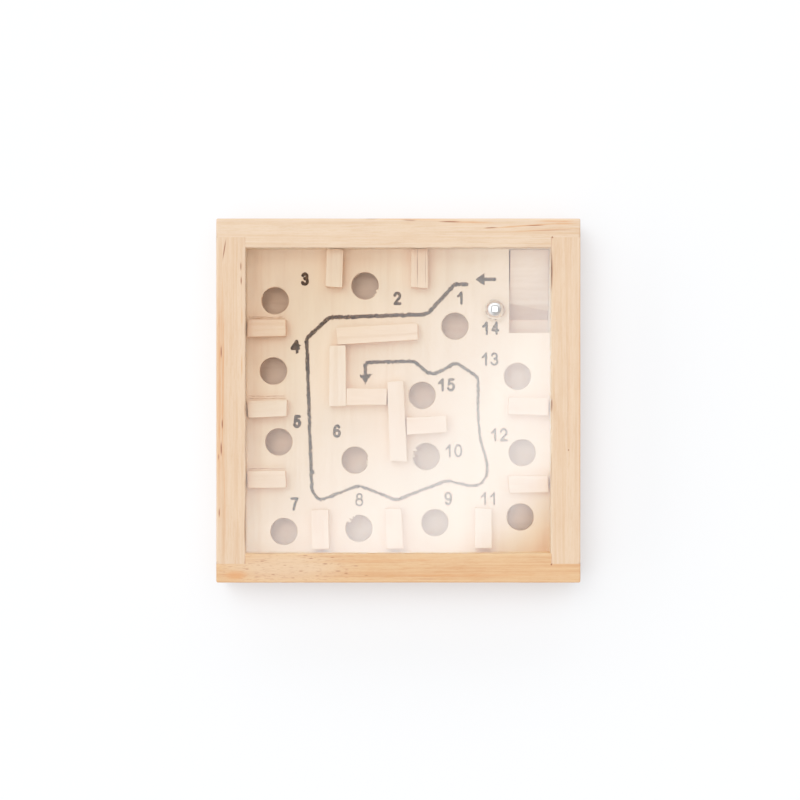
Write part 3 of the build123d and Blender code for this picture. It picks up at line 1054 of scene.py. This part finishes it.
def build_glue_and_shade(node, offsets, material, seed):
    low, high = (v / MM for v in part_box(node))
    sheet = Print((low.x - 0.5, high.y - 0.6), (high.x + 0.5, high.y + 2.0), 500 + seed)
    for row, offset in enumerate(offsets):
        xs = np.arange(low.x + 0.25, high.x - 0.4 - 0.5 * row, GLUE_STEP)
        line = [(x, high.y + offset + GLUE_WANDER * wobble((x, offset, 0), 1.3, 80 + seed))
                for x in xs]
        widths = [GLUE_WIDTH + GLUE_UNEVEN * wobble((x, offset, 3), 0.9, 90 + seed) for x in xs]
        sheet.stroke(line, widths)
    sheet.roughen(0.04)
    sheet.build(node + "_glue", material)


glue_shade_material = dried_glue()
for number, (node, offsets) in enumerate(GLUE_AND_SHADE_LINES.items()):
    build_glue_and_shade(node, offsets, glue_shade_material, number)

# ---------------- floor, light and camera

FLOOR_REACH = 6.0
FLOOR_DROP = 0.0001  # so that it doesn't touch the base panel's face


def build_stage():
    mesh = bpy.data.meshes.new("studio_floor")
    r = FLOOR_REACH
    mesh.from_pydata([(-r, -r, 0), (r, -r, 0), (r, r, 0), (-r, r, 0)], [], [(0, 1, 2, 3)])
    obj = bpy.data.objects.new("studio_floor", mesh)
    bpy.context.scene.collection.objects.link(obj)
    g = Material("studio_white")
    mesh.materials.append(g.set(Base_Color=(0.91, 0.94, 0.98, 1), Roughness=0.9,
                                Specular_IOR_Level=0.0, Emission_Color=(0.93, 0.97, 1, 1),
                                Emission_Strength=0.05))
    obj.location.z = -FLOOR_DROP


# Places in the sky are tangents of the angle from straight up, so 1 is 45 degrees.
BOX_LIGHT, BOX_EDGE, BOX_MIDDLE = 2.2, (0.62, 0.56), (0.056, 0.08)
FRAME_LIGHT, FRAME_EDGE = 0.12, (0.98, 0.90)
RING_LIGHT, RING_EDGE = 1.0, (0.90, 0.98)
HORIZON_LIGHT, HORIZON_EDGE = 0.85, (1.9, 2.8)
LEAN, LEAST, LOW_LEAN = 1.15, 0.15, 0.45  # how far the light leans to the upper left
LOWEST = 0.02  # the sky is the same below this height
KEY_LIGHT, KEY_EDGE, KEY_TO_SIDE = 8.5, (0.22, 0.10), 0.21
STRIP_LIGHT, STRIP_SIDES, STRIP_ENDS = 6.1, (-0.05, 0.07), (0.42, 0.30)
STRIP_STOPS = [(0.075, 0.0), (0.2, 0.2), (0.45, 0.58), (0.61, 1.0), (0.80, 1.0), (0.93, 0.0)]
# red, green, blue: the share of the tent's light and of the strip's
CHANNELS = ((1.0, 0.85), (0.992, 0.90), (0.98, 0.94))


def build_light():
    """A studio tent as the sky: a soft box overhead in a dark frame, a ring and a horizon
    around it that are brighter at the upper left, a soft key on that side, and a long strip
    that the clear cover mirrors as a slanting band."""
    world = bpy.data.worlds.new("studio")
    bpy.context.scene.world = world
    g = Graph(world)
    x, y, z = g.split(g.add("TexCoord").outputs["Generated"])
    height = g.math("MAXIMUM", z, LOWEST)
    tx, ty = g.math("DIVIDE", x, height), g.math("DIVIDE", y, height)
    square = g.math("MAXIMUM", g.math("ABSOLUTE", tx), g.math("ABSOLUTE", ty))
    ring = g.ease(square, *RING_EDGE)
    far = g.ease(square, *HORIZON_EDGE)
    side = g.math("MULTIPLY_ADD", g.minus(y, x), LEAN, 1.0)
    side = g.math("MAXIMUM", side, LEAST)
    total = g.times(g.times(ring, side), g.minus(1.0, far))
    total = g.times(total, RING_LIGHT)
    low_side = g.math("MULTIPLY_ADD", side, LOW_LEAN, 1 - LOW_LEAN)
    low_light = g.times(g.times(far, low_side), HORIZON_LIGHT)
    total = g.plus(total, low_light)
    total = g.plus(total, g.ease(square, *FRAME_EDGE, 0.0, FRAME_LIGHT))
    box = g.times(g.ease(square, *BOX_EDGE), g.ease(square, *BOX_MIDDLE))
    total = g.math("MULTIPLY_ADD", box, BOX_LIGHT, total)
    from_key = g.distance(g.plus(tx, KEY_TO_SIDE), g.minus(ty, KEY_TO_SIDE))
    total = g.plus(total, g.ease(from_key, *KEY_EDGE, 0.0, KEY_LIGHT))
    across = g.times(g.minus(tx, ty), math.sqrt(0.5))
    along = g.times(g.plus(tx, ty), math.sqrt(0.5))
    place = g.add("MapRange", dict(enumerate((across, *STRIP_SIDES)))).outputs[0]
    band = g.add("ValToRGB", {0: place})
    ramp = band.color_ramp
    for element, (position, _) in zip(ramp.elements, (STRIP_STOPS[0], STRIP_STOPS[-1])):
        element.position, element.color = position, (0, 0, 0, 1)
    for position, value in STRIP_STOPS[1:-1]:
        ramp.elements.new(position).color = (value, value, value, 1)
    ends = g.ease(g.math("ABSOLUTE", along), *STRIP_ENDS, 0.0, STRIP_LIGHT)
    strip = g.times(band.outputs[0], ends)
    channels = [g.math("MULTIPLY_ADD", strip, cool, g.times(total, warm))
                for warm, cool in CHANNELS]
    colour = g.add("CombineXYZ", dict(enumerate(channels))).outputs[0]
    g.add("OutputWorld", {0: g.add("Background", {0: colour}).outputs[0]})


CAMERA_PLACE = (0.49 * MM, 0.15 * MM, 0.925)
SENSOR, LENS = 36, 139.27


def build_camera():
    data = bpy.data.cameras.new("overhead")
    data.sensor_width = SENSOR
    data.lens = LENS
    camera = bpy.data.objects.new("overhead", data)
    camera.location = CAMERA_PLACE
    bpy.context.scene.collection.objects.link(camera)
    bpy.context.scene.camera = camera


# the brightness that becomes pure white, and the curve up to it
WHITE = 1.4
TONE_CURVE = ((0.6, 0.6), (0.8, 0.745), (1.0, 0.85), (1.2, 0.94), (1.3, 0.975))


def develop():
    """The picture's tone: straight up to the middle tones, then a soft roll-off to white."""
    view = bpy.context.scene.view_settings
    view.view_transform = "Standard"
    view.use_curve_mapping = True
    mapping = view.curve_mapping
    mapping.white_level = (WHITE, WHITE, WHITE)
    for x, y in TONE_CURVE:
        mapping.curves[3].points.new(x / WHITE, y)
    mapping.update()


build_stage()
build_light()
build_camera()
develop()
